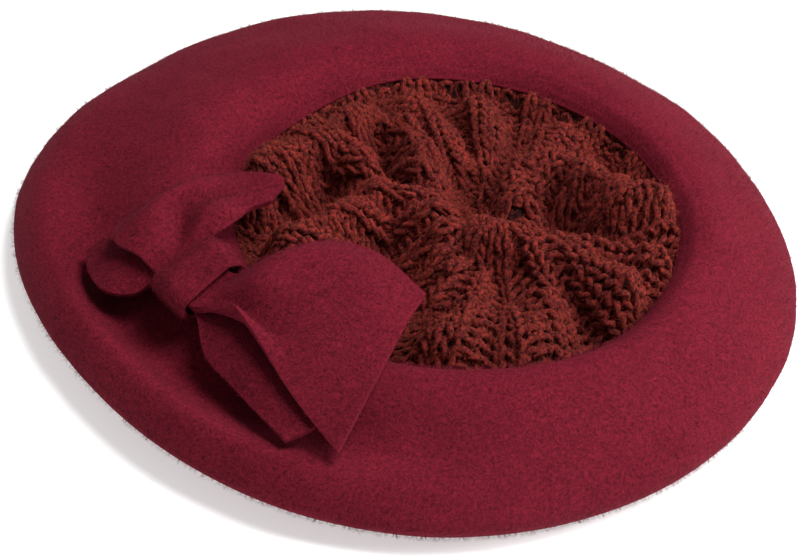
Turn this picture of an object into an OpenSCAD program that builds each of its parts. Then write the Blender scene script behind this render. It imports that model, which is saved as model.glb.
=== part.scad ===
// Felt beret with a slouchy knitted crown and a two-layer felt bow.
// Millimetres, +Z up, standing on its head opening.
// The origin is the centre of the head opening, on the surface it stands on.

/* [Felt body] */
// Outer diameter of the felt body
beret_d = 285; // [230:1:345]
// Height of the rounded crest around the crown
crest_h = 40; // [33:0.5:48]
// Height of the crown seam above the table
seam_h = 27; // [25:0.5:30]
// Thickness of the felt
felt_t = 2.5; // [1.8:0.1:3.2]
// How far the crown opening lies to the right of the head opening
crown_shift_x = 16; // [8:0.5:20]
// How far the crown opening lies in front of the head opening
crown_shift_y = 7; // [0:0.5:12]
// How far the weight of the bow presses the crest down
bow_dip = 5; // [0:0.5:6]

/* [Knitted crown] */
// Diameter of the opening that the knitted crown fills
crown_d = 158; // [130:1:168]
// Thickness of the knitted fabric
knit_t = 5.5; // [4:0.5:6]
// Height of the lowest hollow of the crown
hollow_h = 26; // [25:0.5:28]
// How far the highest folds stand above the crest
fold_rise = 2; // [-2:0.5:3]

/* [Sweatband] */
// Inner diameter of the sweatband, which is the size of the head
head_d = 178; // [145:1:190]
// Thickness of the sweatband ribbon
band_t = 1.2; // [0.8:0.1:1.8]
// Height of the sweatband ribbon
band_h = 14; // [10:0.5:16]
// Gap between the sweatband and the edge of the felt
band_gap = 0.4; // [0.3:0.1:1]

/* [Bow] */
// Direction of the bow around the crown, in degrees from +X
bow_azimuth = 219; // [212:1:228]
// Length of the knot across the ribbon
knot_l = 27; // [22:0.5:32]
// Width of the knot along the ribbon
knot_w = 18; // [14:0.5:19]
// Thickness of the felt that the bow is cut from
bow_t = 2.4; // [1.6:0.1:2.9]
// Clearance between the layers of the bow
bow_gap = 0.4; // [0.3:0.1:0.6]

/* [Threads and yarn] */
// Radius of the sewing thread
thread_r = 0.35; // [0.25:0.05:0.45]
// Radius of the crown's yarn
yarn_r = 1.4; // [1:0.1:1.8]
// Stitches around the crown seam
crown_stitches = 60; // [40:1:80]
// Stitches around the sweatband
band_stitches = 72; // [48:1:96]

/* [Hidden] */

felt_color = [0.50, 0.09, 0.18];
knit_color = [0.34, 0.11, 0.08];
ribbon_color = [0.22, 0.05, 0.09];
thread_color = [0.36, 0.06, 0.12];

n_around = 96;        // sides of the lofted shells
n_between = 2;        // steps between two profile rings
$fn = 96;

rim_r = beret_d / 2;
crown_r = crown_d / 2;
head_r = head_d / 2;
mouth_r = head_r + band_t + band_gap;
crown_c = [crown_shift_x, -crown_shift_y];
fold_h = crest_h + fold_rise - hollow_h;   // a fold above the hollows

// ---- Smooth curves through hand-set points ----
function spline(a, b, c, d, t) =
    0.5 * (2 * b + (c - a) * t + (2 * a - 5 * b + 4 * c - d) * t * t + (3 * b - a - 3 * c + d) * t * t * t);
function along(path, u) =
    let (last = len(path) - 1, i = max(0, min(floor(u), last - 1)),
         before = i > 0 ? path[i - 1] : 2 * path[0] - path[1],
         after = i + 2 <= last ? path[i + 2] : 2 * path[last] - path[last - 1])
    spline(before, path[i], path[i + 1], after, u - i);
function unit(v) = v / norm(v);
function mix(a, b, share) = a + (b - a) * share;

// ---- Felt profile: rings from the crown seam over the rim to the head opening ----
// Each upper ring is [share of the way from the seam to the rim, height, dip under the bow].
UPPER_RINGS = [
    [0, seam_h, 0],
    [0.06, mix(seam_h, crest_h, 0.54), 0.6 * bow_dip],
    [0.19, crest_h, bow_dip],
    [0.36, 0.97 * crest_h, 1.6 * bow_dip],
    [0.63, 0.78 * crest_h, 2.6 * bow_dip],
    [0.87, 0.55 * crest_h, -bow_dip],
    [1, 0.3 * crest_h, -0.6 * bow_dip]];
rim_tuck = 6;         // the rim rolls in by this much at its foot
sole_in = 20;         // the flat underside starts this far in from the rim
function upper_ring(r) =
    [for (v = crown_c * (1 - r[0])) v, mix(crown_r, rim_r, r[0]), r[1], r[2]];
RINGS = concat([for (r = UPPER_RINGS) upper_ring(r)],
    [[0, 0, rim_r - rim_tuck, 0.07 * crest_h, 0],
     [0, 0, rim_r - sole_in, 0, 0],
     [0, 0, mix(mouth_r, rim_r - sole_in, 0.5), 0, 0],
     [0, 0, mouth_r, 0, 0]]);
bow_reach = 75;       // the bow's weight is felt this many degrees to each side
pull_turn = 6;        // seen from the head opening, the bow lies a little further round
plan_flat = 5;        // the left corners of the outline are flatter by this much
function bow_pull(a) =
    let (off = abs((a - bow_azimuth - pull_turn + 540) % 360 - 180))
    off < bow_reach ? pow(cos(90 * off / bow_reach), 2) : 0;
function flatten(a, r) = plan_flat * pow(sin(2 * a), 2) * (0.5 - 0.5 * cos(a)) * pow(r / rim_r, 4);
function ring_point(a, u) =
    let (g = along(RINGS, u), r = g[2] - (u <= 7 ? flatten(a, g[2]) : 0))
    [g[0] + r * cos(a), g[1] + r * sin(a), max(0, g[3] - g[4] * bow_pull(a))];
ring_steps = (len(RINGS) - 1) * n_between;
function outer_wall(a) = [for (k = [0:ring_steps]) ring_point(a, k / n_between)];
function inner_wall(a) =
    let (w = outer_wall(a))
    [for (k = [0:ring_steps])
        let (run = w[min(k + 1, ring_steps)] - w[max(k - 1, 0)],
             out = unit(cross(run, [-sin(a), cos(a), 0])))
        w[k] - felt_t * out];

// Share of the way from the seam to the rim at a point, and the felt's height there
function band_share(p) =
    let (q = p - crown_c, grow = rim_r - crown_r,
         A = crown_c * crown_c - grow * grow, B = 2 * (q * crown_c - crown_r * grow),
         C = q * q - crown_r * crown_r)
    (-B - sqrt(B * B - 4 * A * C)) / (2 * A);
profile_steps = 24;
FELT_PROFILE = [for (k = [0:profile_steps])
    let (u = k * (len(UPPER_RINGS) - 1) / profile_steps) along(UPPER_RINGS, u)];
function felt_z(p) =
    let (share = max(0, band_share(p)), pull = bow_pull(atan2(p[1], p[0]) + 360))
    lookup(share, [for (g = FELT_PROFILE) [g[0], g[1] - g[2] * pull]]);

// ---- Closed skin from rings of points that run round a closed section ----
function ring_faces(rings, around) =
    [for (i = [0:rings - 1], j = [0:around - 1])
        let (a = i * around + j, b = i * around + (j + 1) % around,
             c = ((i + 1) % rings) * around + j, d = ((i + 1) % rings) * around + (j + 1) % around)
        each [[a, d, b], [a, c, d]]];

module felt_body() {
    walls = [for (i = [0:n_around - 1])
        let (a = i * 360 / n_around, inside = inner_wall(a))
        concat(outer_wall(a), [for (k = [ring_steps:-1:0]) inside[k]])];
    color(felt_color)
        polyhedron(points = [for (w = walls) each w],
                   faces = ring_faces(n_around, 2 * (ring_steps + 1)), convexity = 10);
}

// ---- Knitted crown: ridges of the bunched folds, from the crown's centre ----
// Each fold is [height share, half-width, [ridge points]] on a crown of this radius.
fold_ref_r = 79;
FOLDS = [
    [1.00, 9, [[-72, -3], [-57, 13], [-46, 29], [-36, 36], [-24, 31], [-14, 15], [-10, -3]]],
    [0.90, 8, [[-64, 4], [-52, 15], [-42, 16], [-33, 8], [-30, -5]]],
    [0.95, 10, [[-56, -37], [-46, -29], [-34, -17], [-24, -9], [-10, -14], [4, -20],
                [18, -23], [30, -29], [44, -31], [60, -40]]],
    [0.70, 12, [[-10, -14], [0, -25], [6, -39], [8, -57], [2, -73]]],
    [0.60, 12, [[26, -29], [32, -47], [28, -63]]],
    [1.00, 9, [[18, -9], [19, 11], [27, 21], [38, 21], [50, 13], [60, 5], [74, 7]]],
    [0.75, 8, [[34, -19], [54, -19], [72, -23]]],
    [0.40, 8, [[4, 62], [9, 48], [13, 34]]],
    [0.40, 8, [[-22, 60], [-10, 46], [0, 30]]],
    [0.40, 8, [[36, 54], [32, 44], [26, 32]]]];
fold_blend = 3;       // how sharply two folds meet
seam_fade = 9;        // the folds flatten out this far from the seam
function near_line(p, a, b) =
    let (run = b - a, share = max(0, min(1, ((p - a) * run) / (run * run))))
    norm(p - a - share * run);
function near_path(p, path) = min([for (i = [0:len(path) - 2]) near_line(p, path[i], path[i + 1])]);
function total(v, i = 0) = i < len(v) ? v[i] + total(v, i + 1) : 0;
function folds_at(p) =
    pow(total([for (f = FOLDS) pow(f[0] * exp(-pow(near_path(p, f[2]) / f[1], 2)), fold_blend)]),
        1 / fold_blend);
function knit_z(share, a) =
    let (p = share * fold_ref_r * [cos(a), sin(a)],
         free = min(1, (1 - share) * fold_ref_r / seam_fade))
    hollow_h + fold_h * min(1, folds_at(p)) * free * (2 - free);
knit_clear = 0.4;     // gap between the knitted edge and the felt's edge
n_shares = 20;
knit_r = crown_r - knit_clear;
// The crown is a disc of rings: the top face outwards, then the lower face back in.
function knit_ring(share, drop) =
    [for (i = [0:n_around - 1])
        let (a = i * 360 / n_around)
        [crown_c[0] + share * knit_r * cos(a), crown_c[1] + share * knit_r * sin(a),
         knit_z(share, a) - drop]];

module knit_crown() {
    inner_share = 0.04;
    shares = [for (k = [0:n_shares]) mix(inner_share, 1, k / n_shares)];
    rings = concat([for (s = shares) knit_ring(s, 0)],
                   [for (k = [n_shares:-1:0]) knit_ring(shares[k], knit_t)]);
    count = len(rings);
    skin = [for (k = [0:count - 2], i = [0:n_around - 1])
        let (a = k * n_around + i, b = k * n_around + (i + 1) % n_around)
        each [[a, b, b + n_around], [a, b + n_around, a + n_around]]];
    color(knit_color)
        polyhedron(points = [for (r = rings) each r],
                   faces = concat(skin, [[for (i = [n_around - 1:-1:0]) i]],
                                  [[for (i = [0:n_around - 1]) (count - 1) * n_around + i]]),
                   convexity = 12);
}

// The yarn that draws the last loops of the crown together, in the middle
gather_r = 5;
module crown_gather_yarn() {
    color(knit_color)
        translate([crown_c[0], crown_c[1], knit_z(0, 0)])
            rotate_extrude() translate([gather_r, 0]) circle(r = yarn_r, $fn = 24);
}

// A straight stitch from one point to another, with the thread's radius
module stitch(from, to, r = thread_r) {
    run = to - from;
    translate(from)
        rotate([0, acos(run[2] / norm(run)), atan2(run[1], run[0])])
            cylinder(r = r, h = norm(run), $fn = 16);
}

// Whip stitches join the edge of the knit to the edge of the felt.
stitch_bite = 2;      // how far a stitch reaches into each cloth
module crown_seam_stitches() {
    color(thread_color)
        for (i = [0:crown_stitches - 1]) {
            a = (i + 0.5) * 360 / crown_stitches;
            outwards = [cos(a), sin(a), 0];
            centre = [crown_c[0], crown_c[1], 0];
            knit_mid = hollow_h - 0.45 * knit_t;
            felt_mid = (ring_point(a, 0) + inner_wall(a)[0]) / 2;
            stitch(centre + (knit_r - stitch_bite) * outwards + [0, 0, knit_mid],
                   felt_mid + 0.3 * stitch_bite * outwards + [0, 0, 0.5 * stitch_bite]);
        }
}

// ---- Sweatband: a ribbon sewn round the head opening ----
band_lift = 0.3;      // the ribbon's lower edge stays this far off the table
module sweatband() {
    color(ribbon_color)
        rotate_extrude($fn = 180)
            translate([head_r, band_lift]) square([band_t, band_h]);
}
module sweatband_stitches() {
    color(thread_color)
        for (i = [0:band_stitches - 1]) {
            a = (i + 0.5) * 360 / band_stitches;
            low = [0, 0, felt_t / 2];
            stitch((head_r + 0.4 * band_t) * [cos(a), sin(a), 0] + low,
                   (mouth_r + stitch_bite) * [cos(a), sin(a), 0] + low);
        }
}

// ---- Bow: two strips of felt, gathered in the knot, that lie over the crest ----
bow_share = 0.33;     // where the knot sits between the seam and the rim
bow_turn = -45;       // direction of the strips at the knot
knot_tilt = 18;       // the knot follows the slope of the felt
bow_c = crown_c * (1 - bow_share)
    + mix(crown_r, rim_r, bow_share) * [cos(bow_azimuth), sin(bow_azimuth)];
stack_t = 2 * bow_t + 2.4 * bow_gap;              // both strips at the knot
hole_h = stack_t + 6 * thread_r;
hole_l = knot_l - 2 * bow_t;
knot_z = felt_z(bow_c) + hole_h / 2 + bow_t + 1.2;
waist_half = hole_l / 2 - 5 * thread_r;
waist_end = knot_w / 2 + 1;
layer_lift = (bow_t + 1.3 * bow_gap) / 2;

// A point in the knot's own frame: along the strips, across them, and up
function knot_point(s, w, h) =
    let (level = w * cos(knot_tilt) - h * sin(knot_tilt))
    [bow_c[0] + s * cos(bow_turn) - level * sin(bow_turn),
     bow_c[1] + s * sin(bow_turn) + level * cos(bow_turn),
     knot_z + w * sin(knot_tilt) + h * cos(knot_tilt)];
module in_knot() {
    translate([bow_c[0], bow_c[1], knot_z]) rotate([0, 0, bow_turn]) rotate([knot_tilt, 0, 0]) children();
}

// Each line runs the length of the strip: four points from the left wing's end,
// three in the knot, then four to the right wing's end. The first line is nearest the crown.
// Points are in millimetres from the knot, and heights are above the crest.
function through_knot(left, across, lift, right) =
    concat([for (p = left) wing_point(p)],
           [for (s = [-waist_end, 0, waist_end]) knot_point(s, across * waist_half, lift)],
           [for (p = right) wing_point(p)]);
function wing_point(p) = [bow_c[0] + p[0], bow_c[1] + p[1], crest_h + p[2]];
UPPER_STRIP = [
    through_knot([[19, 36, 6], [12, 31, 5.5], [10, 26, 6], [5, 19, 5.5]], 1, layer_lift,
                 [[25, 7, 7], [41, 15, 8], [58, 13, 7], [75, -2, 6]]),
    through_knot([[22, 46, 8], [8, 36, 6], [1, 25, 9.8], [-2, 18, 7.5]], 0.5, layer_lift,
                 [[24, -1, 11], [39, 3, 12], [55, 0, 10], [71, -14, 6]]),
    through_knot([[12, 50, 6], [-1, 36, 5.5], [-9, 27, 5], [-8.5, 19, 3.8]], 0, layer_lift,
                 [[21, -10, 9], [35, -12, 8], [51, -17, 7], [66, -31, 5]]),
    through_knot([[-2, 50, 2], [-9, 36, 9.5], [-18, 24, 9], [-16, 13, 5.5]], -0.5, layer_lift,
                 [[17, -18, 1], [30, -25, 1], [45, -34, 3], [61, -46, 1]]),
    through_knot([[-22, 42, -6], [-28, 26, -1], [-31, 13, 0], [-21, 5, 1.5]], -1, layer_lift,
                 [[12, -19, 3], [24, -30, 0], [38, -47, -4], [54, -63, -9]])];
LOWER_STRIP = [
    through_knot([[7, 46, 0], [4, 35, 2], [1, 25, 1], [0, 18, 0]], 1, -layer_lift,
                 [[22, -8, 1], [34, -16, 0], [46, -25, 0], [55, -34, -1]]),
    through_knot([[-11, 42, -1], [-12, 31, 0], [-13, 21, -1], [-11, 13, -2]], 0.33, -layer_lift,
                 [[17, -15, -2], [29, -24, -3], [40, -34, -4], [50, -44, -5]]),
    through_knot([[-27, 30, -6], [-26, 20, -4], [-24, 11, -4], [-18, 5, -4]], -0.33, -layer_lift,
                 [[12, -22, -5], [23, -33, -7], [34, -44, -8], [45, -54, -9]]),
    through_knot([[-41, 20, -13], [-38, 8, -12], [-31, -2, -10], [-21, -3, -9]], -1, -layer_lift,
                 [[7, -27, -10], [17, -37, -12], [26, -47, -12], [37, -59, -11]])];
left_hinge = 2.85;    // the wings bend here, counted in points along the strip
lower_left_hinge = 2.5;
right_hinge = 6.65;
hinge_slit = 0.08;
strip_end = 10;
lower_clear = bow_t / 2 + bow_gap;
upper_clear = lower_clear + bow_t + bow_gap;

function strip_point(lines, u, v, clear) =
    let (p = along([for (l = lines) along(l, u)], v * (len(lines) - 1)))
    [p[0], p[1], max(p[2], felt_z([p[0], p[1]]) + clear)];
function strip_normal(lines, u, v, clear) =
    let (e = 0.02,
         run = strip_point(lines, min(u + e, strip_end), v, clear) - strip_point(lines, max(u - e, 0), v, clear),
         side = strip_point(lines, u, min(v + e, 1), clear) - strip_point(lines, u, max(v - e, 0), clear))
    unit(cross(side, run));
strip_rows = 9;       // points across a strip
module felt_strip(lines, from, to, steps, clear) {
    grid = [for (i = [0:steps], j = [0:strip_rows - 1])
        let (u = mix(from, to, i / steps), v = j / (strip_rows - 1),
             up = strip_normal(lines, u, v, clear) * bow_t / 2)
        [strip_point(lines, u, v, clear) + up, strip_point(lines, u, v, clear) - up]];
    n = strip_rows;
    half = len(grid);
    top = [for (i = [0:steps - 1], j = [0:n - 2])
        let (a = i * n + j) each [[a, a + n, a + n + 1], [a, a + n + 1, a + 1]]];
    sides = [for (i = [0:steps - 1], a = [i * n, i * n + n - 1])
        let (b = a + n, flip = a % n == 0)
        each flip ? [[a, b + half, b], [a, a + half, b + half]] : [[a, b, b + half], [a, b + half, a + half]]];
    ends = [for (j = [0:n - 2], a = [j, steps * n + j])
        let (b = a + 1, flip = a >= n)
        each flip ? [[a, b + half, b], [a, a + half, b + half]] : [[a, b, b + half], [a, b + half, a + half]]];
    color(felt_color)
        polyhedron(points = [for (k = [0, 1], g = grid) g[k]],
                   faces = concat(top, [for (f = top) [f[2] + half, f[1] + half, f[0] + half]], sides, ends),
                   convexity = 6);
}
module bow_upper_left_wing() { felt_strip(UPPER_STRIP, 0, left_hinge, 9, upper_clear); }
module bow_lower_left_wing() { felt_strip(LOWER_STRIP, 0, lower_left_hinge, 8, lower_clear); }
module bow_upper_right_wing() { felt_strip(UPPER_STRIP, right_hinge, strip_end, 10, upper_clear); }
module bow_lower_right_wing() { felt_strip(LOWER_STRIP, right_hinge, strip_end, 9, lower_clear); }
module bow_upper_waist() {
    felt_strip(UPPER_STRIP, left_hinge + hinge_slit, right_hinge - hinge_slit, 12, upper_clear);
}
module bow_lower_waist() {
    felt_strip(LOWER_STRIP, lower_left_hinge + hinge_slit, right_hinge - hinge_slit, 12, lower_clear);
}

module rounded_bar(length, height) {
    square([length - height, height], center = true);
    for (side = [-1, 1]) translate([side * (length - height) / 2, 0]) circle(d = height, $fn = 48);
}
module band_round_strips(length, height, wall, width) {
    rotate([90, 0, 90]) linear_extrude(width, center = true) difference() {
        rounded_bar(length + 2 * wall, height + 2 * wall);
        rounded_bar(length, height);
    }
}
module bow_knot() {
    color(felt_color) in_knot() band_round_strips(hole_l, hole_h, bow_t, knot_w);
}
// Three turns of thread hold the gathers under the knot.
thread_turns = [-3, 0, 3];
module bow_waist_thread() {
    turn_clear = 0.1;
    color(thread_color) in_knot()
        for (s = thread_turns) translate([s, 0, 0])
            band_round_strips(hole_l - 2 * (thread_r * 2 + turn_clear), hole_h - 2 * (thread_r * 2 + turn_clear),
                              2 * thread_r, 2 * thread_r);
}
// The knot's ends are sewn together underneath.
module knot_seam_stitches() {
    spacing = 4;
    reach = 1.8;
    depth = hole_h / 2 + bow_t - thread_r;
    color(thread_color) in_knot()
        for (s = [-1.5:1:1.5]) stitch([s * spacing, -reach, -depth], [s * spacing, reach, -depth]);
}
// Tacks through the underside of the knot hold the bow to the felt.
module bow_tack_stitches() {
    tacks = [[-5, 8], [0, 8], [5, 8], [-5, 2], [0, 2], [5, 2]];
    color(thread_color)
        for (t = tacks) {
            top = knot_point(t[0], t[1], -hole_h / 2 - bow_t / 2);
            stitch([top[0], top[1], felt_z([top[0], top[1]]) - felt_t / 2], top);
        }
}

felt_body();
knit_crown();
crown_gather_yarn();
crown_seam_stitches();
sweatband();
sweatband_stitches();
bow_upper_waist();
bow_lower_waist();
bow_waist_thread();
bow_knot();
knot_seam_stitches();
bow_tack_stitches();
bow_upper_left_wing();
bow_lower_left_wing();
bow_upper_right_wing();
bow_lower_right_wing();
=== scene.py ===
"""A felt beret with a bunched rib-knit crown and a felt bow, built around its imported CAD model."""

import math

import bmesh
import bpy
import numpy as np
from mathutils import Matrix, Vector, noise


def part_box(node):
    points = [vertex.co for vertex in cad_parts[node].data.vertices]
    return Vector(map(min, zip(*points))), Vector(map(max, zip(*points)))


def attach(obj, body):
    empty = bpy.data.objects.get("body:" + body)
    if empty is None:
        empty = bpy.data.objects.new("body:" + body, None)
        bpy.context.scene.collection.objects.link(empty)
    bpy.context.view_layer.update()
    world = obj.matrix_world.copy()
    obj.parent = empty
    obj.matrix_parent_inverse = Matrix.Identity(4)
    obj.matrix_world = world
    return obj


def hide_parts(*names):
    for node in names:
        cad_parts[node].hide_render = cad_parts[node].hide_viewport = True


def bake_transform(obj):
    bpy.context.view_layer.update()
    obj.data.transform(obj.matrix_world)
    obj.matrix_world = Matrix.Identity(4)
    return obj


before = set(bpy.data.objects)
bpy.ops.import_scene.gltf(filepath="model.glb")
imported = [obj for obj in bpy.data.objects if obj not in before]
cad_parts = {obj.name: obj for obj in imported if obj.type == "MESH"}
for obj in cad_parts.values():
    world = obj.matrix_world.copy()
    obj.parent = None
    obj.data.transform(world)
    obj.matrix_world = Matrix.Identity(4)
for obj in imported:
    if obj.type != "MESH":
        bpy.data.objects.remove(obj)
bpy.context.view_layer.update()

MM = 0.001
scene = bpy.context.scene

# ---------------------------------------------------------------- sizes, from the frame
body_low, body_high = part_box("felt_body")
knit_low, knit_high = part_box("knit_crown")
band_low, band_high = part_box("sweatband")
knot_low, knot_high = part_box("bow_knot")

RIM_R = (body_high.x - body_low.x) / 2
CREST_H = 40 * MM
SEAM_H = 27 * MM
FELT_T = 2.5 * MM
BOW_T = 2.4 * MM
KNIT_GAP = 0.4 * MM
CROWN_R = (knit_high.x - knit_low.x) / 2 + KNIT_GAP
CROWN_C = Vector(((knit_high.x + knit_low.x) / 2, (knit_high.y + knit_low.y) / 2, 0))
BAND_T = 1.2 * MM
HEAD_R = (band_high.x - band_low.x) / 2 - BAND_T
MOUTH_R = HEAD_R + BAND_T + 0.4 * MM
HOLLOW_H = 26 * MM
FOLD_H = 16 * MM
BOW_DIP = 5 * MM
BOW_PULL_AT = math.radians(225)
BOW_REACH = math.radians(75)
PLAN_FLAT = 5 * MM
KNOT_C = (knot_low + knot_high) / 2
KNOT_TURN = math.radians(-45)
KNOT_TILT = math.radians(18)
KNOT_W = 18 * MM


# ---------------------------------------------------------------- smooth curves and heights
def spline(a, b, c, d, t):
    return 0.5 * (2 * b + (c - a) * t + (2 * a - 5 * b + 4 * c - d) * t * t + (3 * b - a - 3 * c + d) * t ** 3)


def along(path, u):
    """Points at u on a smooth curve through path, where u counts path's points."""
    path = np.asarray(path)
    i = np.clip(np.floor(u).astype(int), 0, len(path) - 2)
    ends = np.concatenate([[2 * path[0] - path[1]], path, [2 * path[-1] - path[-2]]])
    t = (u - i).reshape(-1, *[1] * (path.ndim - 1))
    return spline(ends[i], ends[i + 1], ends[i + 2], ends[i + 3], t)


def across_lines(rows, v):
    """Each row is a few points across a strip: the point at v, from 0 to 1, on a smooth curve through them."""
    u = v * (rows.shape[1] - 1)
    i = np.clip(np.floor(u).astype(int), 0, rows.shape[1] - 2)
    ends = np.concatenate([2 * rows[:, :1] - rows[:, 1:2], rows, 2 * rows[:, -1:] - rows[:, -2:-1]], axis=1)
    n = np.arange(len(rows))
    return spline(ends[n, i], ends[n, i + 1], ends[n, i + 2], ends[n, i + 3], (u - i)[:, None])


def mix(a, b, share):
    return a + (b - a) * share


def smooth(x):
    x = np.clip(x, 0, 1)
    return x * x * (3 - 2 * x)


# Upper rings of the felt: share of the way from the crown seam to the rim, height, dip under the bow
UPPER_RINGS = [np.array(r) for r in (
    (0.0, SEAM_H, 0.0),
    (0.06, mix(SEAM_H, CREST_H, 0.54), 0.6 * BOW_DIP),
    (0.19, CREST_H, BOW_DIP),
    (0.36, 0.97 * CREST_H, 1.6 * BOW_DIP),
    (0.63, 0.78 * CREST_H, 2.6 * BOW_DIP),
    (0.87, 0.55 * CREST_H, -BOW_DIP),
    (1.0, 0.3 * CREST_H, -0.6 * BOW_DIP))]


def ring(share, height, dip):
    centre = CROWN_C * (1 - share)
    return np.array((centre.x, centre.y, mix(CROWN_R, RIM_R, share), height, dip))


SOLE_R = RIM_R - 20 * MM
RINGS = [ring(*r) for r in UPPER_RINGS] + [np.array(r) for r in (
    (0, 0, RIM_R - 6 * MM, 0.07 * CREST_H, 0),
    (0, 0, SOLE_R, 0, 0),
    (0, 0, mix(MOUTH_R, SOLE_R, 0.5), 0, 0),
    (0, 0, MOUTH_R, 0, 0))]
LAST_UPPER = len(UPPER_RINGS)
RIM_RING = len(UPPER_RINGS) - 1
LIP_TUCK = 11 * MM
CREST_LEAN = 2 * MM
LEAN_AT = math.radians(45)
SEAM_RISE = 7 * MM
CREST_RING, CREST_SPAN = 1.9, 0.9


def bow_pull(a):
    """How strongly the bow presses the felt down at an angle, from 0 to 1."""
    off = np.abs((a - BOW_PULL_AT + math.pi) % (2 * math.pi) - math.pi)
    return np.where(off < BOW_REACH, np.cos(math.pi / 2 * np.minimum(off / BOW_REACH, 1)) ** 2, 0)


def edge_rise(a):
    """How much higher the crown seam sits at the back and right, where the crown is pulled up."""
    return SEAM_RISE * smooth((np.cos(a - LEAN_AT) + 0.25) / 0.75)


def felt_place(a, u):
    """Points of the felt's outer face: a is the angle, and u counts the rings from the crown seam."""
    x, y, r, height, dip = along(RINGS, u).T
    flat = PLAN_FLAT * np.sin(2 * a) ** 2 * (0.5 - 0.5 * np.cos(a)) * (r / RIM_R) ** 4
    r = r - np.where(u <= LAST_UPPER, flat, 0)
    under = smooth((u - RIM_RING) / 1.2) * (1 - smooth((u - RIM_RING - 2) / 1.5))
    lean = np.maximum(0, np.cos(a - LEAN_AT)) * np.exp(-((u - CREST_RING) / CREST_SPAN) ** 2)
    r = r - LIP_TUCK * bow_pull(a) * under - CREST_LEAN * lean
    height = np.maximum(0, height - dip * bow_pull(a)) + edge_rise(a) * np.interp(u, (0, 1, 2), (1, 0.45, 0))
    return np.stack([x + r * np.cos(a), y + r * np.sin(a), height], axis=-1)


def band_share(x, y):
    """Share of the way from the crown seam to the rim at a place: the rings between are circles that slide."""
    qx, qy = x - CROWN_C.x, y - CROWN_C.y
    grow = RIM_R - CROWN_R
    a = CROWN_C.length_squared - grow ** 2
    b = 2 * (qx * CROWN_C.x + qy * CROWN_C.y - CROWN_R * grow)
    c = qx ** 2 + qy ** 2 - CROWN_R ** 2
    return (-b - np.sqrt(b * b - 4 * a * c)) / (2 * a)


FELT_PROFILE = along(UPPER_RINGS, np.arange(4 * len(UPPER_RINGS) - 3) / 4)


def felt_z(x, y):
    """Height of the felt's upper face at a place outside the crown seam."""
    share = np.maximum(0, band_share(x, y))
    height = np.interp(share, FELT_PROFILE[:, 0], FELT_PROFILE[:, 1])
    dip = np.interp(share, FELT_PROFILE[:, 0], FELT_PROFILE[:, 2])
    return height - dip * bow_pull(np.arctan2(y, x))


# Ridges of the crown's bunched folds: height share, half-width, and points from the crown's centre, in mm
FOLDS = (
    (1.00, 9, ((-72, -3), (-57, 13), (-46, 29), (-36, 36), (-24, 31), (-14, 15), (-10, -3))),
    (0.90, 8, ((-64, 4), (-52, 15), (-42, 16), (-33, 8), (-30, -5))),
    (0.95, 10, ((-56, -37), (-46, -29), (-34, -17), (-24, -9), (-10, -14), (4, -20),
                (18, -23), (30, -29), (44, -31), (60, -40))),
    (0.70, 12, ((-10, -14), (0, -25), (6, -39), (8, -57), (2, -73))),
    (0.60, 12, ((26, -29), (32, -47), (28, -63))),
    (1.00, 9, ((18, -9), (19, 11), (27, 21), (38, 21), (50, 13), (60, 5), (74, 7))),
    (0.75, 8, ((34, -19), (54, -19), (72, -23))),
    (0.40, 8, ((4, 62), (9, 48), (13, 34))),
    (0.40, 8, ((-22, 60), (-10, 46), (0, 30))),
    (0.40, 8, ((36, 54), (32, 44), (26, 32))))
SEAM_FADE = 9 * MM


def near_path(x, y, path):
    """Distance from places to a path of straight runs."""
    best = np.full(np.shape(x), np.inf)
    for (ax, ay), (bx, by) in zip(path, path[1:]):
        run = np.array((bx - ax, by - ay))
        share = np.clip(((x - ax) * run[0] + (y - ay) * run[1]) / (run @ run), 0, 1)
        best = np.minimum(best, np.hypot(x - ax - share * run[0], y - ay - share * run[1]))
    return best


ROUNDING = 0.85
LOWEST = 0.4
HOLLOW_DEPTH = 6 * MM
FOLD_EXTRA = 5 * MM
PIT = (14, -9, 8, 5 * MM)

# Tight creases between the folds: depth in mm, half-width, and points from the crown's centre, in mm
CREASES = (
    (7, 4.5, ((-71, -41), (-60, -28), (-48, -19), (-37, -8), (-31, 2))),
    (9, 6, ((-31, 29), (-27, 17), (-23, 6))),
    (5, 5, ((-10, 15), (-10, -2))),
    (6, 5, ((12, 38), (15, 14), (11, -6))),
    (7, 5, ((-31, 2), (-11, -1), (8, -5), (18, -10), (27, -16))),
    (6, 4.5, ((-1, -7), (3, -26), (7, -38), (2, -59))),
    (6, 5, ((20, -9), (33, -12), (51, -10))))


def knit_z(x, y):
    """Height of the crown's fabric at places measured from the crown's centre."""
    folds = sum((height * np.exp(-(near_path(x / MM, y / MM, path) / width) ** 2)) ** 3
                for height, width, path in FOLDS)
    rise = np.minimum(1, folds ** (1 / 3)) ** ROUNDING
    free = np.clip((CROWN_R - np.hypot(x, y)) / SEAM_FADE, 0, 1)
    free = free * (2 - free)
    creases = sum((depth * MM * np.exp(-(near_path(x / MM, y / MM, path) / width) ** 2)) ** 2
                  for depth, width, path in CREASES) ** 0.5
    pit_x, pit_y, pit_r, pit_depth = PIT
    pit = pit_depth * np.exp(-np.hypot(x / MM - pit_x, y / MM - pit_y) ** 2 / pit_r ** 2)
    seam = edge_rise(np.arctan2(y, x)) * (np.hypot(x, y) / CROWN_R) ** 6
    fabric = (FOLD_H + FOLD_EXTRA) * rise - HOLLOW_DEPTH * (1 - rise) ** 2 - pit - creases
    return HOLLOW_H + seam + free * np.maximum(fabric, -LOWEST * HOLLOW_H)


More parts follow.
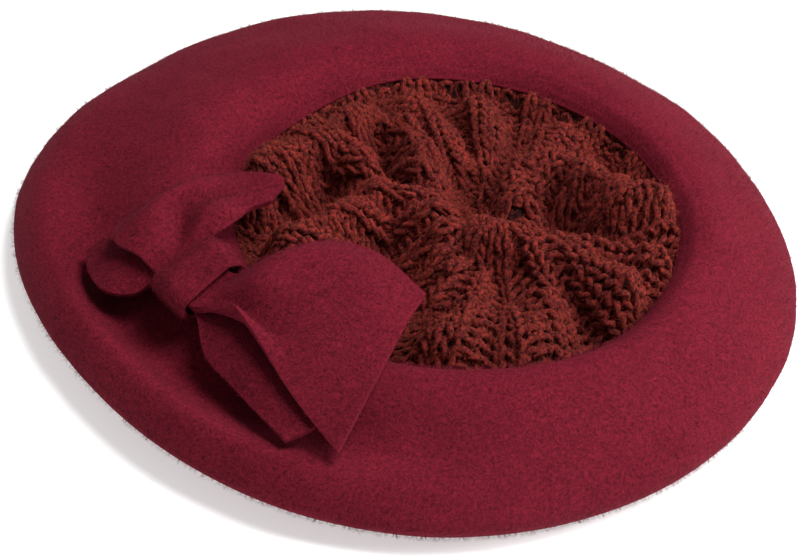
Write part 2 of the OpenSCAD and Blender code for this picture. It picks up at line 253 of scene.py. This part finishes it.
# ---------------------------------------------------------------- mesh helpers
def new_piece(name, bm, material, smooth_faces=True):
    mesh = bpy.data.meshes.new(name)
    for face in bm.faces:
        face.smooth = smooth_faces
    bm.to_mesh(mesh)
    bm.free()
    piece = bpy.data.objects.new(name, mesh)
    scene.collection.objects.link(piece)
    mesh.materials.append(material)
    return piece


def looks_up(bm):
    """Turn an open sheet's faces over if its highest face looks down."""
    top = max(bm.faces, key=lambda face: face.calc_center_median().z)
    if top.normal.z < 0:
        bmesh.ops.reverse_faces(bm, faces=bm.faces)


def bent_grid(columns, rows, place, closed=False):
    """A grid moved to place(u, v), with u and v arrays from 0 to 1; closed joins v = 0 to v = 1."""
    bm = bmesh.new()
    bmesh.ops.create_grid(bm, x_segments=columns, y_segments=rows, size=0.5)
    flat = np.array([vert.co.xy for vert in bm.verts]) + 0.5
    for vert, spot in zip(bm.verts, place(flat[:, 0], flat[:, 1])):
        vert.co = spot
    if closed:
        bmesh.ops.remove_doubles(bm, verts=bm.verts, dist=0.01 * MM)
    bmesh.ops.recalc_face_normals(bm, faces=bm.faces)
    looks_up(bm)
    return bm


def thicken(piece, thickness, offset=-1.0):
    wall = piece.modifiers.new("wall", "SOLIDIFY")
    wall.thickness = thickness
    wall.offset = offset
    wall.use_even_offset = True
    return wall


def round_edges(piece, width, segments):
    edge = piece.modifiers.new("cut_edge", "BEVEL")
    edge.width = width
    edge.segments = segments
    edge.limit_method = "ANGLE"
    edge.angle_limit = math.radians(50)


def ring_profile(name, radius, sides):
    """A closed outline of a few sides, which a tube follows."""
    curve = bpy.data.curves.new(name, "CURVE")
    line = curve.splines.new("POLY")
    line.points.add(sides - 1)
    for i, point in enumerate(line.points):
        turn = -2 * math.pi * i / sides
        point.co = (radius * math.cos(turn), radius * math.sin(turn), 0, 1)
    line.use_cyclic_u = True
    return bpy.data.objects.new(name, curve)


def tubes(name, routes, radius, material, sides=5):
    """Tubes along routes, each a list of (point, share of the radius), joined into one mesh."""
    profile = ring_profile(name + "_profile", radius, sides)
    curve = bpy.data.curves.new(name, "CURVE")
    curve.dimensions = "3D"
    curve.bevel_mode = "OBJECT"
    curve.bevel_object = profile
    curve.use_fill_caps = True
    for route in routes:
        line = curve.splines.new("POLY")
        line.points.add(len(route) - 1)
        for point, (place, share) in zip(line.points, route):
            point.co = (*place, 1)
            point.radius = share
    holder = bpy.data.objects.new(name + "_route", curve)
    scene.collection.objects.link(holder)
    mesh = bpy.data.meshes.new_from_object(holder.evaluated_get(bpy.context.evaluated_depsgraph_get()))
    for made in (holder, profile):
        bpy.data.objects.remove(made)
    mesh.materials.clear()
    mesh.materials.append(material)
    for face in mesh.polygons:
        face.use_smooth = True
    piece = bpy.data.objects.new(name, mesh)
    scene.collection.objects.link(piece)
    return piece


# ---------------------------------------------------------------- materials
def new_group(name, inputs, outputs):
    """A shader node group. Inputs are (name, socket type, default) rows, and outputs (name, socket type)."""
    group = bpy.data.node_groups.new(name, "ShaderNodeTree")
    for label, kind, default in inputs:
        socket = group.interface.new_socket(label, in_out="INPUT", socket_type=kind)
        socket.default_value = default
    for label, kind in outputs:
        group.interface.new_socket(label, in_out="OUTPUT", socket_type=kind)
    return group, group.nodes.new("NodeGroupInput"), group.nodes.new("NodeGroupOutput")


def noise_node(group, scale, detail, vector, roughness=0.6):
    grain = group.nodes.new("ShaderNodeTexNoise")
    grain.inputs["Scale"].default_value = scale
    grain.inputs["Detail"].default_value = detail
    grain.inputs["Roughness"].default_value = roughness
    group.links.new(vector, grain.inputs["Vector"])
    return grain


def remap(group, value, low, high, to_low, to_high):
    node = group.nodes.new("ShaderNodeMapRange")
    for label, number in (("From Min", low), ("From Max", high), ("To Min", to_low), ("To Max", to_high)):
        node.inputs[label].default_value = number
    group.links.new(value, node.inputs["Value"])
    return node.outputs["Result"]


def calc(group, operation, *values):
    """A sum on values, each a number or another node's output."""
    node = group.nodes.new("ShaderNodeMath")
    node.operation = operation
    for socket, value in zip(node.inputs, values):
        if isinstance(value, (int, float)):
            socket.default_value = value
        else:
            group.links.new(value, socket)
    return node.outputs[0]


def brighten(group, colour, factor):
    node = group.nodes.new("ShaderNodeVectorMath")
    node.operation = "SCALE"
    group.links.new(colour, node.inputs[0])
    group.links.new(factor, node.inputs["Scale"])
    return node.outputs[0]


def bump(group, height, strength, distance):
    node = group.nodes.new("ShaderNodeBump")
    node.inputs["Strength"].default_value = strength
    node.inputs["Distance"].default_value = distance
    group.links.new(height, node.inputs["Height"])
    return node.outputs["Normal"]


def felt_nap_group():
    """Short matted wool: soft clouds of shade, a fine fibre fleck and a fibre bump."""
    group, inside, out = new_group(
        "felt_nap",
        [("Colour", "NodeSocketColor", (0.2, 0.02, 0.04, 1)), ("Fleck", "NodeSocketFloat", 0.25)],
        [("Colour", "NodeSocketColor"), ("Normal", "NodeSocketVector")])
    place = group.nodes.new("ShaderNodeTexCoord").outputs["Object"]
    clouds = noise_node(group, 38, 3, place)
    swirl = noise_node(group, 160, 2, place)
    bend = group.nodes.new("ShaderNodeVectorMath")
    bend.operation = "MULTIPLY_ADD"
    group.links.new(swirl.outputs["Color"], bend.inputs[0])
    bend.inputs[1].default_value = (0.006, 0.006, 0.006)
    group.links.new(place, bend.inputs[2])
    fibres = noise_node(group, 1000, 6, bend.outputs[0], 0.75)
    shade = calc(group, "MULTIPLY", remap(group, clouds.outputs["Fac"], 0.3, 0.7, 0.91, 1.08),
                 remap(group, fibres.outputs["Fac"], 0.36, 0.66, 0.5, 1.55))
    group.links.new(brighten(group, inside.outputs["Colour"], shade), out.inputs["Colour"])
    group.links.new(bump(group, fibres.outputs["Fac"], 0.55, 0.6 * MM), out.inputs["Normal"])
    return group


def yarn_group():
    """Brushed wool yarn: rust and near-black brown strands in one thread."""
    group, inside, out = new_group(
        "brushed_yarn",
        [("Light", "NodeSocketColor", (0.2, 0.04, 0.02, 1)),
         ("Dark", "NodeSocketColor", (0.02, 0.01, 0.01, 1))],
        [("Colour", "NodeSocketColor"), ("Normal", "NodeSocketVector")])
    place = group.nodes.new("ShaderNodeTexCoord").outputs["Object"]
    strands = noise_node(group, 850, 5, place, 0.75)
    patches = noise_node(group, 45, 2, place)
    share = calc(group, "MULTIPLY", remap(group, strands.outputs["Fac"], 0.40, 0.63, 0.0, 1.0),
                 remap(group, patches.outputs["Fac"], 0.3, 0.7, 0.7, 1.0))
    blend = group.nodes.new("ShaderNodeMix")
    blend.data_type = "RGBA"
    group.links.new(share, blend.inputs[0])
    group.links.new(inside.outputs["Dark"], blend.inputs[6])
    group.links.new(inside.outputs["Light"], blend.inputs[7])
    group.links.new(blend.outputs[2], out.inputs["Colour"])
    group.links.new(bump(group, strands.outputs["Fac"], 0.6, 0.5 * MM), out.inputs["Normal"])
    return group


RIBBON_RIBS = 620


def ribbon_group():
    """Ribs that run up a ribbon round the head, with painted shade in the grooves and a painted highlight on the
    ribs.
    """
    group, inside, out = new_group(
        "ribbon_ribs", [("Colour", "NodeSocketColor", (0.04, 0.01, 0.02, 1))],
        [("Colour", "NodeSocketColor"), ("Normal", "NodeSocketVector")])
    place = group.nodes.new("ShaderNodeTexCoord").outputs["Object"]
    parts = group.nodes.new("ShaderNodeSeparateXYZ")
    group.links.new(place, parts.inputs[0])
    turn = calc(group, "ARCTAN2", parts.outputs["Y"], parts.outputs["X"])
    wave = calc(group, "SINE", calc(group, "MULTIPLY", turn, RIBBON_RIBS))
    # Painted shade and highlight: the colour is darker in the rib grooves and lighter on the rib tops.
    shade = remap(group, wave, -1, 1, 0.7, 1.15)
    group.links.new(brighten(group, inside.outputs["Colour"], shade), out.inputs["Colour"])
    group.links.new(bump(group, wave, 0.5, 0.15 * MM), out.inputs["Normal"])
    return group


def new_material(name, group, colours, roughness, sheen, sheen_tint, sheen_roughness=0.5):
    """A fabric material whose colour and normal come from a shared group."""
    material = bpy.data.materials.new(name)
    material.use_nodes = True
    nodes, links = material.node_tree.nodes, material.node_tree.links
    shader = nodes["Principled BSDF"]
    pattern = nodes.new("ShaderNodeGroup")
    pattern.node_tree = group
    for label, colour in colours.items():
        pattern.inputs[label].default_value = (*colour, 1)
    links.new(pattern.outputs["Colour"], shader.inputs["Base Color"])
    links.new(pattern.outputs["Normal"], shader.inputs["Normal"])
    shader.inputs["Roughness"].default_value = roughness
    shader.inputs["Specular IOR Level"].default_value = 0.06
    shader.inputs["Sheen Weight"].default_value = sheen
    shader.inputs["Sheen Roughness"].default_value = sheen_roughness
    shader.inputs["Sheen Tint"].default_value = (*sheen_tint, 1)
    return material


nap = felt_nap_group()
brushed = yarn_group()
FELT = new_material("burgundy_felt", nap, {"Colour": (0.112, 0.0064, 0.0148)}, 0.95, 0.06, (0.7, 0.1, 0.18))
FELT_FUZZ = new_material("felt_fuzz", nap, {"Colour": (0.16, 0.0125, 0.026)}, 0.95, 0.1, (0.7, 0.15, 0.2))
# The knit backing is a near-black sheet under the yarn loops: its colour is painted shade for the deep gaps
# between them.
KNIT_SHADE_BACK = new_material("knit_backing", brushed,
                         {"Light": (0.03, 0.007, 0.006), "Dark": (0.006, 0.003, 0.003)}, 1.0, 0.0, (1, 1, 1))
YARN = new_material("rust_yarn", brushed, {"Light": (0.25, 0.026, 0.019), "Dark": (0.012, 0.004, 0.005)},
                    0.95, 0.1, (0.7, 0.2, 0.12))
YARN_FUZZ = new_material("rust_mohair", brushed, {"Light": (0.42, 0.052, 0.034), "Dark": (0.14, 0.017, 0.014)},
                         0.9, 0.1, (0.8, 0.3, 0.2))
RIBBON = new_material("burgundy_ribbon", ribbon_group(), {"Colour": (0.045, 0.008, 0.014)},
                      0.7, 0.1, (0.8, 0.5, 0.5))
THREAD = new_material("burgundy_thread", nap, {"Colour": (0.04, 0.005, 0.009)}, 0.7, 0.1, (0.8, 0.5, 0.5))


# ---------------------------------------------------------------- felt body
AROUND = 288
PROFILE_STEPS = 112
LAST_RING = len(RINGS) - 1


def soft_swell(places, size, amount, seed):
    """A smooth random height at each place, for the unevenness of cloth."""
    shift = Vector((seed, seed * 1.7, -seed))
    return amount * np.array([noise.noise(Vector(p) / size + shift) for p in places])


def felt_face(u, v):
    """The felt's outer face, with u along the profile and v around, both from 0 to 1."""
    a = 2 * math.pi * v
    step = LAST_RING * u
    places = felt_place(a, step)
    loose = smooth(step / 2) * (1 - smooth((step - 6.5) / 1.5))
    lift = loose * (soft_swell(places, 34 * MM, 1.3 * MM, 3) + soft_swell(places, 13 * MM, 0.45 * MM, 8))
    up = np.clip(1 - (step - 4) / 4, 0, 1)
    return places + lift[:, None] * np.stack([np.cos(a) * (1 - up), np.sin(a) * (1 - up), up], axis=-1)


def make_felt_body():
    bm = bent_grid(PROFILE_STEPS, AROUND, felt_face, closed=True)
    body = new_piece("felt_shell", bm, FELT)
    thicken(body, FELT_T)
    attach(body, "hat")
    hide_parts("felt_body")
    return body


# ---------------------------------------------------------------- knitted crown
WALES = 80
COURSE = 4.4 * MM
YARN_R = 1.3 * MM
LOOP_POINTS = 12
LOOP_SPREAD = 0.25
LOOP_HEIGHT = 0.62
LOOP_DEPTH = 0.9 * MM
RIB_LIFT = 1.0 * MM
WALE_ENDS = (7 * MM, 44 * MM, 22 * MM, 44 * MM)
GATHER_AT = (12 * MM, -11 * MM)
SEAM_TUCK = 3.5 * MM
EDGE_SINK = 0.2 * MM
BACKING_T = 1.5 * MM
UNEVEN_R, UNEVEN_LIFT = 0.35 * MM, 0.3 * MM


def knit_at(r, a):
    """Places on the knit, from the crown's centre: the ribs draw together off the middle, in a hollow."""
    drawn = np.maximum(0, 1 - (r / CROWN_R) ** 2)
    x = r * np.cos(a) + drawn * GATHER_AT[0]
    y = r * np.sin(a) + drawn * GATHER_AT[1]
    return x, y, knit_z(x, y)


def knit_place(r, a, lift):
    """Places on the knit, lifted off it along its slope."""
    e = 0.5 * MM
    x, y, z = knit_at(r, a)
    slope_x = (knit_z(x + e, y) - knit_z(x - e, y)) / (2 * e)
    slope_y = (knit_z(x, y + e) - knit_z(x, y - e)) / (2 * e)
    normal = np.stack([-slope_x, -slope_y, np.ones_like(z)], axis=-1)
    normal /= np.linalg.norm(normal, axis=-1, keepdims=True)
    return np.stack([CROWN_C.x + x, CROWN_C.y + y, z], axis=-1) + normal * lift[..., None]


LOOP_RNG = np.random.default_rng(7)


def course_radii():
    """Radius of each course on each rib, so that courses stay evenly apart over the folds."""
    angles = 2 * math.pi * np.arange(WALES) / WALES
    r = np.full(WALES, CROWN_R - 0.4 * MM)
    courses = [r]
    while r.max() > WALE_ENDS[0]:
        here, there = np.array(knit_at(r, angles)), np.array(knit_at(r - COURSE, angles))
        step = COURSE ** 2 / np.linalg.norm(there - here, axis=0)
        step = (np.roll(step, 1) + 2 * step + np.roll(step, -1)) / 4
        r = np.maximum(r - step, 0)
        courses.append(r)
    return angles, courses


def course_routes():
    """Yarn routes: one for each unbroken stretch of a course."""
    angles, courses = course_radii()
    routes = []
    for r in courses:
        live = [w for w in range(WALES) if r[w] > WALE_ENDS[w % 4]]
        stretch = []
        for index, wale in enumerate(live):
            before = live[index - 1] - (WALES if index == 0 else 0)
            after = live[(index + 1) % len(live)] + (WALES if index == len(live) - 1 else 0)
            broken = after - wale > 4
            stretch.extend(one_loop(angles, r, wale, before, after))
            if broken:
                routes.append(stretch)
                stretch = []
        if stretch:
            routes.append(stretch)
    return [route for route in routes if len(route) > LOOP_POINTS]


def one_loop(angles, r, wale, before, after):
    t = 2 * math.pi * np.arange(LOOP_POINTS) / LOOP_POINTS
    left = min(wale - before, 4) / 2
    right = min(after - wale, 4) / 2
    across = t / (2 * math.pi) + LOOP_SPREAD * np.sin(2 * t)
    offset = (across - 0.5) * (left + right) + (right - left) / 2
    a = angles[wale] + offset * 2 * math.pi / WALES
    here, there = r[wale], r[(wale + (1 if right >= left else -1)) % WALES]
    lean = np.abs(offset) / (left + right)
    radius = here + (there - here) * lean * 0.5 + COURSE * LOOP_HEIGHT * np.cos(t)
    raised = wale % 4 in (0, 3) if here > WALE_ENDS[1] else wale % 4 == 0
    front = -1 if raised else 1
    tucked = np.clip((CROWN_R - radius) / (2 * COURSE), 0, 1)
    lift = front * LOOP_DEPTH * np.cos(2 * t) + RIB_LIFT * (tucked if raised else -1) - EDGE_SINK * (1 - tucked)
    radius = np.clip(radius + LOOP_RNG.normal(0, UNEVEN_R), 2 * MM, CROWN_R + 1.4 * MM)
    lift = lift + LOOP_RNG.normal(0, UNEVEN_LIFT)
    thick = LOOP_RNG.uniform(0.85, 1.12)
    return [(tuple(p), thick) for p in knit_place(radius, a, lift)]


def make_knit_crown():
    def backing(u, v):
        r = mix(0.2 * MM, CROWN_R + SEAM_TUCK, u)
        places = knit_place(r, 2 * math.pi * v, np.zeros_like(r))
        places[:, 2] -= mix(2.6 * MM, 1.3 * MM, smooth((r - CROWN_R + 6 * MM) / (5 * MM)))
        return places
    bm = bent_grid(72, 240, backing, closed=True)
    middle = [e for e in bm.edges if e.is_boundary and (e.verts[0].co - CROWN_C).xy.length < 1 * MM]
    bmesh.ops.holes_fill(bm, edges=middle, sides=400)
    # A sheet under the loops, in the near-black painted shade colour that shows through the gaps between them.
    base = new_piece("knit_backing", bm, KNIT_SHADE_BACK)
    thicken(base, BACKING_T).use_even_offset = False
    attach(base, "hat")
    loops = tubes("knit_loops", course_routes(), YARN_R, YARN, sides=5)
    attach(loops, "hat")
    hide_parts("knit_crown")
    return loops


# ---------------------------------------------------------------- bow
STRIP_ALONG = Vector((math.cos(KNOT_TURN), math.sin(KNOT_TURN), 0))
STRIP_ACROSS = Vector((-math.sin(KNOT_TURN), math.cos(KNOT_TURN), 0))
BOW_GAP = 0.4 * MM
THREAD_R = 0.35 * MM
STACK_T = 2 * BOW_T + 2.4 * BOW_GAP
HOLE_H = STACK_T + 6 * THREAD_R
HOLE_L = 27 * MM - 2 * BOW_T
WAIST_END = KNOT_W / 2 + 1 * MM
WAIST_HALF = HOLE_L / 2 - 5 * THREAD_R
LAYER_LIFT = (BOW_T + 1.3 * BOW_GAP) / 2
STRIP_END = 10
KNOT_MID = 5
LOWER_CLEAR = BOW_T / 2 + BOW_GAP
UPPER_CLEAR = LOWER_CLEAR + BOW_T + BOW_GAP


def knot_place(s, w, h):
    """Places in the knot's own frame: along the strips, across them, and up."""
    level = w * math.cos(KNOT_TILT) - h * math.sin(KNOT_TILT)
    rise = w * math.sin(KNOT_TILT) + h * math.cos(KNOT_TILT)
    return np.multiply.outer(s, STRIP_ALONG) + np.multiply.outer(level, STRIP_ACROSS) + np.multiply.outer(
        rise, (0, 0, 1)) + KNOT_C


def through_knot(left, across, lift, right):
    """A line of a strip: the left wing's points from its end, the knot's three, then the right wing's."""
    wings = [[(KNOT_C.x + x * MM, KNOT_C.y + y * MM, CREST_H + z * MM) for x, y, z in side]
             for side in (left, right)]
    middle = [knot_place(s, across * WAIST_HALF, lift) for s in (-WAIST_END, 0, WAIST_END)]
    return wings[0] + middle + wings[1]


# Points are in millimetres from the knot, and heights are above the crest. The first line is nearest the crown.
UPPER_STRIP = [
    through_knot([(19, 36, 6), (12, 31, 5.5), (10, 26, 6), (5, 19, 5.5)], 1, LAYER_LIFT,
                 [(25, 7, 7), (41, 15, 8), (58, 13, 7), (75, -2, 6)]),
    through_knot([(22, 46, 8), (8, 36, 6), (1, 25, 9.8), (-2, 18, 7.5)], 0.5, LAYER_LIFT,
                 [(24, -1, 11), (39, 3, 12), (55, 0, 10), (71, -14, 6)]),
    through_knot([(12, 50, 6), (-1, 36, 5.5), (-9, 27, 5), (-8.5, 19, 3.8)], 0, LAYER_LIFT,
                 [(21, -10, 9), (35, -12, 8), (51, -17, 7), (66, -31, 5)]),
    through_knot([(-2, 50, 2), (-9, 36, 9.5), (-18, 24, 9), (-16, 13, 5.5)], -0.5, LAYER_LIFT,
                 [(17, -18, 1), (30, -25, 1), (45, -34, 3), (61, -46, 1)]),
    through_knot([(-22, 42, -6), (-28, 26, -1), (-31, 13, 0), (-21, 5, 1.5)], -1, LAYER_LIFT,
                 [(12, -19, 3), (24, -30, 0), (38, -47, -4), (54, -63, -9)])]
LOWER_STRIP = [
    through_knot([(7, 46, 0), (4, 35, 2), (1, 25, 1), (0, 18, 0)], 1, -LAYER_LIFT,
                 [(22, -8, 1), (34, -16, 0), (46, -25, 0), (55, -34, -1)]),
    through_knot([(-11, 42, -1), (-12, 31, 0), (-13, 21, -1), (-11, 13, -2)], 0.33, -LAYER_LIFT,
                 [(17, -15, -2), (29, -24, -3), (40, -34, -4), (50, -44, -5)]),
    through_knot([(-27, 30, -6), (-26, 20, -4), (-24, 11, -4), (-18, 5, -4)], -0.33, -LAYER_LIFT,
                 [(12, -22, -5), (23, -33, -7), (34, -44, -8), (45, -54, -9)]),
    through_knot([(-41, 20, -13), (-38, 8, -12), (-31, -2, -10), (-21, -3, -9)], -1, -LAYER_LIFT,
                 [(7, -27, -10), (17, -37, -12), (26, -47, -12), (37, -59, -11)])]


def strip_place(lines, u, v, clear):
    """The middle of a felt strip: u counts its points from the left end, and v runs away from the crown."""
    places = across_lines(along(np.array(lines).transpose(1, 0, 2), u), v)
    places[:, 2] = np.maximum(places[:, 2], felt_z(places[:, 0], places[:, 1]) + clear)
    return places


# Swells of a wing's face: height, place across and its width, place along and its length
FAR_HUMP = (2.8 * MM, 0.25, 0.22, 8.3, 1.3)
NEAR_ROLL = (4.0 * MM, 0.98, 0.15, 7.3, 1.0)
NEAR_FOLD = (1.6 * MM, 0.5, 0.12, 6.9, 0.8)


def make_wing(name, lines, first, last, clear, wing, hinge, way, replaced, swells=()):
    """One half of a strip, from under the knot to a wing's end, with the two ends of a hinge line beside the
    knot.
    """
    def face(u, v):
        step = mix(first, last, u)
        places = strip_place(lines, step, v, clear)
        for height, at_v, wide, at_step, long in swells:
            hump = np.exp(-((v - at_v) / wide) ** 2 - ((step - at_step) / long) ** 2)
            places[:, 2] += height * hump * smooth((abs(step - KNOT_MID) - 1) / 1.2)
        return places
    bm = bent_grid(96, 56, face)
    piece = new_piece(name, bm, FELT)
    thicken(piece, BOW_T, offset=0)
    round_edges(piece, 0.5 * MM, 2)
    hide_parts(*replaced)
    start, end = tuple(hinge - 4 * MM * way), tuple(hinge + 12 * MM * way)
    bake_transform(piece)
    return piece, wing, start, end


def make_bow():
    left_hinge, left_way = Vector((-0.074, -0.056, 0.049)), Vector((-0.39, 0.92, 0))
    right_hinge, right_way = Vector((-0.053, -0.072, 0.0495)), Vector((0.89, -0.45, 0))
    wings = [
        make_wing("bow_upper_left", UPPER_STRIP, 0, KNOT_MID, UPPER_CLEAR, "left_wing", left_hinge, left_way,
                  ["bow_upper_left_wing", "bow_upper_waist"]),
        make_wing("bow_lower_left", LOWER_STRIP, 0, KNOT_MID, LOWER_CLEAR, "left_wing", left_hinge, left_way,
                  ["bow_lower_left_wing", "bow_lower_waist"]),
        make_wing("bow_upper_right", UPPER_STRIP, STRIP_END, KNOT_MID, UPPER_CLEAR, "right_wing", right_hinge,
                  right_way, ["bow_upper_right_wing"], (FAR_HUMP, NEAR_ROLL, NEAR_FOLD)),
        make_wing("bow_lower_right", LOWER_STRIP, STRIP_END, KNOT_MID, LOWER_CLEAR, "right_wing", right_hinge,
                  right_way, ["bow_lower_right_wing"])]
    return wings


def rounded_bar(share, half_length, half_height):
    """Points and outward directions on a rounded bar's outline, for shares from 0 to 1 of the way round it."""
    straight = 2 * (half_length - half_height)
    arc = math.pi * half_height
    way = share * 2 * (straight + arc)
    lower = way >= straight + arc
    way = np.where(lower, way - straight - arc, way)
    turn = math.pi / 2 - np.maximum(0, way - straight) / half_height
    out = np.stack([np.cos(turn), np.sin(turn)], axis=-1)
    spots = half_height * out
    spots[:, 0] += np.minimum(way, straight) - straight / 2
    flip = np.where(lower, -1, 1)[:, None]
    return spots * flip, out * flip


def make_knot():
    """The band round the waist: soft, a little full in the middle and pinched into small folds."""
    def face(u, v):
        across = 2 * u - 1
        spots, out = rounded_bar(v, HOLE_L / 2 + BOW_T, HOLE_H / 2 + BOW_T)
        top = np.maximum(0, out[:, 1])
        full = (1.9 * (1 - across ** 2) - 1.3 * across ** 8) * MM * top
        fold = 0.6 * MM * np.sin(4.2 * across + 2.6 * np.sin(2 * math.pi * v + 0.6)) * top
        spots = spots + out * (full + fold)[:, None]
        narrow = 1 - 0.1 * np.sin(2 * math.pi * v) ** 2
        return knot_place(across * narrow * KNOT_W / 2, spots[:, 0], spots[:, 1])
    knot = new_piece("knot_band", bent_grid(40, 150, face, closed=True), FELT)
    thicken(knot, BOW_T - 0.2 * MM)
    round_edges(knot, 0.8 * MM, 4)
    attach(knot, "hat")
    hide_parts("bow_knot")
    return knot


# ---------------------------------------------------------------- sweatband and threads
def make_sweatband():
    low, high = band_low.z, band_high.z

    def face(u, v):
        a = 2 * math.pi * v
        r = HEAD_R + BAND_T / 2 + 0.2 * MM * np.sin(24 * a) * (1 - np.abs(2 * u - 1))
        return np.stack([r * np.cos(a), r * np.sin(a), mix(low, high, u)], axis=-1)
    bm = bent_grid(10, 288, face, closed=True)
    ribbon = new_piece("ribbon_band", bm, RIBBON)
    thicken(ribbon, BAND_T - 0.4 * MM, offset=0)
    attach(ribbon, "hat")
    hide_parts("sweatband")


def finish_threads():
    for node in ("crown_seam_stitches", "sweatband_stitches", "bow_waist_thread", "knot_seam_stitches",
                 "bow_tack_stitches"):
        bpy.data.objects[node].data.materials.clear()
        bpy.data.objects[node].data.materials.append(THREAD)
    bpy.data.objects["crown_gather_yarn"].data.materials.clear()
    bpy.data.objects["crown_gather_yarn"].data.materials.append(YARN)


# ---------------------------------------------------------------- loose fibres
def surface_spots(piece, count, rng, lowest):
    """Random places and normals, spread evenly over the faces of a piece above a height."""
    mesh = piece.data
    n = len(mesh.polygons)
    areas, centres, normals = np.empty(n), np.empty(3 * n), np.empty(3 * n)
    mesh.polygons.foreach_get("area", areas)
    mesh.polygons.foreach_get("center", centres)
    mesh.polygons.foreach_get("normal", normals)
    centres, normals = centres.reshape(-1, 3), normals.reshape(-1, 3)
    areas[centres[:, 2] < lowest] = 0
    chosen = rng.choice(n, count, p=areas / areas.sum())
    side = rng.normal(size=(count, 3))
    side -= (side * normals[chosen]).sum(axis=1, keepdims=True) * normals[chosen]
    side /= np.linalg.norm(side, axis=1, keepdims=True)
    spread = np.sqrt(areas[chosen]) * rng.uniform(0, 0.6, count)
    return centres[chosen] + side * spread[:, None], normals[chosen], side


def make_fuzz(name, piece, count, length, radius, lean, material, slot, seed, lowest=-1.0, lift=0.0):
    """Short bent hairs that stand on a piece."""
    rng = np.random.default_rng(seed)
    root, normal, side = surface_spots(piece, count, rng, lowest)
    size = (length * rng.uniform(0.4, 1.25, count))[:, None]
    lean = np.clip(lean * rng.uniform(0.5, 1.5, count), 0, 1)[:, None]
    root = root + lift * normal
    curl = np.cross(side, normal)
    middle = root + size * (0.5 * (1 - 0.5 * lean) * normal + 0.5 * lean * side)
    tip = middle + size * (0.4 * (1 - lean) * normal + 0.5 * lean * side + 0.25 * curl)
    routes = [[(tuple(a), 1.0), (tuple(b), 0.8), (tuple(c), 0.2)]
              for a, b, c in zip(root - 0.3 * MM * normal, middle, tip)]
    fuzz = tubes(name, routes, radius, material, sides=3)
    return fuzz


HAIRS = 13900
WING_HAIRS = 4200
KNOT_HAIRS = 3500
NAP = (1.9 * MM, 0.055 * MM, 0.5)


def make_all_fuzz(felt, loops, wings, knot):
    for k in range(3):
        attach(make_fuzz(f"felt_nap_{k + 1}", felt, HAIRS, 2.4 * MM, 0.045 * MM, 0.5, FELT_FUZZ, "felt",
                          seed=20 + k, lowest=2 * MM), "hat")
    for k in range(3):
        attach(make_fuzz(f"mohair_{k + 1}", loops, HAIRS, 4.2 * MM, 0.05 * MM, 0.75, YARN_FUZZ, "knit",
                          seed=30 + k), "hat")
    for (wing, body, start, end), seed in zip(wings, (41, 42, 43, 44)):
        fuzz = make_fuzz(wing.name + "_nap", wing, WING_HAIRS, *NAP, FELT_FUZZ, "bow_felt", seed, lift=BOW_T / 2)
        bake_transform(fuzz)
    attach(make_fuzz("knot_nap", knot, KNOT_HAIRS, *NAP, FELT_FUZZ, "bow_felt", 45), "hat")


# ---------------------------------------------------------------- camera, light and floor
VIEW_RISE = math.radians(40.94)
VIEW_ROLL = math.radians(7.39)
VIEW_FAR = 0.70
VIEW_TARGET = Vector((-0.00092, -0.0268, 0.015))


def make_camera():
    data = bpy.data.cameras.new("camera")
    data.sensor_width = 36
    data.lens = 88.92
    camera = bpy.data.objects.new("camera", data)
    scene.collection.objects.link(camera)
    camera.location = VIEW_TARGET + VIEW_FAR * Vector((0, -math.cos(VIEW_RISE), math.sin(VIEW_RISE)))
    aim = (VIEW_TARGET - camera.location).to_track_quat("-Z", "Y")
    camera.rotation_euler = (aim.to_matrix() @ Matrix.Rotation(VIEW_ROLL, 3, "Z")).to_euler()
    scene.camera = camera


def make_light(name, place, target, size, power):
    data = bpy.data.lights.new(name, "AREA")
    data.shape = "DISK"
    data.size = size
    data.energy = power
    light = bpy.data.objects.new(name, data)
    light.location = place
    light.rotation_euler = (Vector(target) - Vector(place)).to_track_quat("-Z", "Y").to_euler()
    scene.collection.objects.link(light)


def make_stage():
    bm = bmesh.new()
    bmesh.ops.create_grid(bm, x_segments=1, y_segments=1, size=4)
    mesh = bpy.data.meshes.new("floor")
    bm.to_mesh(mesh)
    bm.free()
    floor = bpy.data.objects.new("floor", mesh)
    scene.collection.objects.link(floor)
    material = bpy.data.materials.new("white_paper")
    material.use_nodes = True
    shader = material.node_tree.nodes["Principled BSDF"]
    shader.inputs["Base Color"].default_value = (0.92, 0.92, 0.92, 1)
    shader.inputs["Roughness"].default_value = 0.9
    shader.inputs["Emission Color"].default_value = (1, 1, 1, 1)
    shader.inputs["Emission Strength"].default_value = 0.5
    mesh.materials.append(material)
    world = bpy.data.worlds.new("studio")
    world.use_nodes = True
    world.node_tree.nodes["Background"].inputs["Color"].default_value = (1, 1, 1, 1)
    world.node_tree.nodes["Background"].inputs["Strength"].default_value = 0.27
    scene.world = world
    make_light("overhead_softbox", (0.5, 0.0, 1.4), (0, 0, 0), 0.8, 29)
    make_light("side_softbox", (1.3, 0.0, 0.8), (0, 0, 0), 0.7, 17)
    scene.view_settings.view_transform = "Standard"


# ---------------------------------------------------------------- the beret
make_camera()
make_stage()
felt = make_felt_body()
loops = make_knit_crown()
wings = make_bow()
knot = make_knot()
make_sweatband()
finish_threads()
make_all_fuzz(felt, loops, wings, knot)
